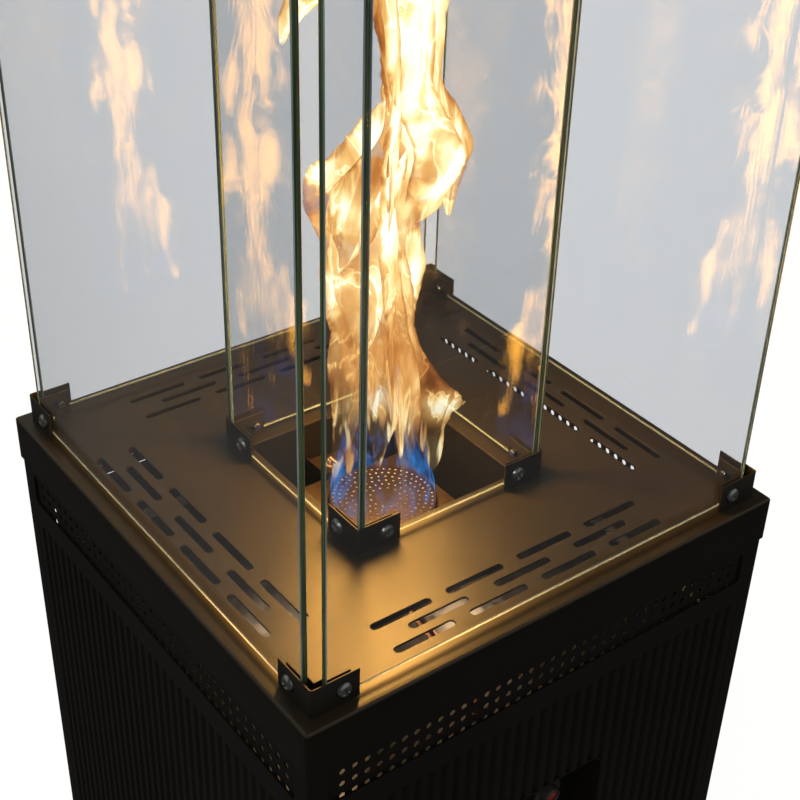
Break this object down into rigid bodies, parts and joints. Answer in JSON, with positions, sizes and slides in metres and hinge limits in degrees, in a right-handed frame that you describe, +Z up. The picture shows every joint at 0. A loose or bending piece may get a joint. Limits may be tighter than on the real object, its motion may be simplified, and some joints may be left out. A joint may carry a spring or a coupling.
{
  "type": "propane patio heater",
  "caption": "Square glass tower patio heater: fluted steel cabinet with a bottle bay, slotted deck, round burner in a glass chimney inside a glass guard, crown on top.",
  "frame": {"origin": "middle of the footprint, on the ground", "axes": "+X to the right seen from the front, +Y to the back, +Z up; the control recess faces -Y and the bottle door +Y"},
  "size_m": [0.42, 0.42, 1.355],
  "materials": {
    "satin_black": "satin",
    "textured_black": "fine texture",
    "steel": "satin",
    "zinc_plate": "galvanised",
    "brass": "machined",
    "copper": "drawn copper",
    "black_plastic": "matt",
    "red_plastic": "gloss",
    "rubber": "matt",
    "ceramic": "unglazed",
    "glass": "clear, toughened"
  },
  "bodies": {
    "heater": {"base_floor": "textured_black", "burner_head": "steel", "burner_tray": "steel", "burner_well": "textured_black", "chimney_bracket_front_left": "satin_black", "chimney_bracket_front_right": "satin_black", "chimney_bracket_rear_left": "satin_black", "chimney_bracket_rear_right": "satin_black", "chimney_glass_front": "glass", "chimney_glass_left": "glass", "chimney_glass_rear": "glass", "chimney_glass_right": "glass", "control_pan": "textured_black", "crown_cover": "satin_black", "crown_tray": "satin_black", "deck": "satin_black", "door_catch": "black_plastic", "foot_front_left": "rubber", "foot_front_right": "rubber", "foot_rear_left": "rubber", "foot_rear_right": "rubber", "front_vent_strip": "textured_black", "front_wall": "textured_black", "gas_pipe": "copper", "gas_valve": "brass", "guard_bracket_front_left": "satin_black", "guard_bracket_front_right": "satin_black", "guard_bracket_rear_left": "satin_black", "guard_bracket_rear_right": "satin_black", "guard_glass_front": "glass", "guard_glass_left": "glass", "guard_glass_rear": "glass", "guard_glass_right": "glass", "heat_baffle": "steel", "igniter_body": "black_plastic", "injector": "brass", "inlet_nipple": "brass", "left_vent_strip": "textured_black", "left_wall": "textured_black", "mixing_tube": "steel", "partition": "zinc_plate", "pilot_bracket": "steel", "pivot_pin_lower": "steel", "pivot_pin_upper": "steel", "rear_frame": "textured_black", "rear_vent_strip": "textured_black", "right_vent_strip": "textured_black", "right_wall": "textured_black", "spark_electrode": "ceramic", "thermocouple": "steel", "tilt_switch": "black_plastic"},
    "door": {"bottle_door": "textured_black", "door_pull": "steel"},
    "spindle": {"valve_spindle": "steel"},
    "knob": {"control_knob": "black_plastic"},
    "igniter_button": {"igniter_button": "red_plastic"}
  },
  "joints": [
    {"name": "door_hinge", "type": "hinge", "parent": "heater", "child": "door", "pos_m": [-0.179, 0.201, 0.052], "axis": [0, 0, 1], "range_deg": [0, 95]},
    {"name": "knob_push", "type": "slide", "parent": "heater", "child": "spindle", "axis": [0, 1, 0], "range_m": [0, 0.003], "stiffness_N_per_m": 1200, "springref_m": -0.001},
    {"name": "knob_turn", "type": "hinge", "parent": "spindle", "child": "knob", "pos_m": [-0.022, -0.183, 0.444], "axis": [0, -1, 0], "range_deg": [0, 180]},
    {"name": "igniter_push", "type": "slide", "parent": "heater", "child": "igniter_button", "axis": [0, 1, 0], "range_m": [0, 0.006], "stiffness_N_per_m": 1200, "springref_m": -0.001}
  ]
}
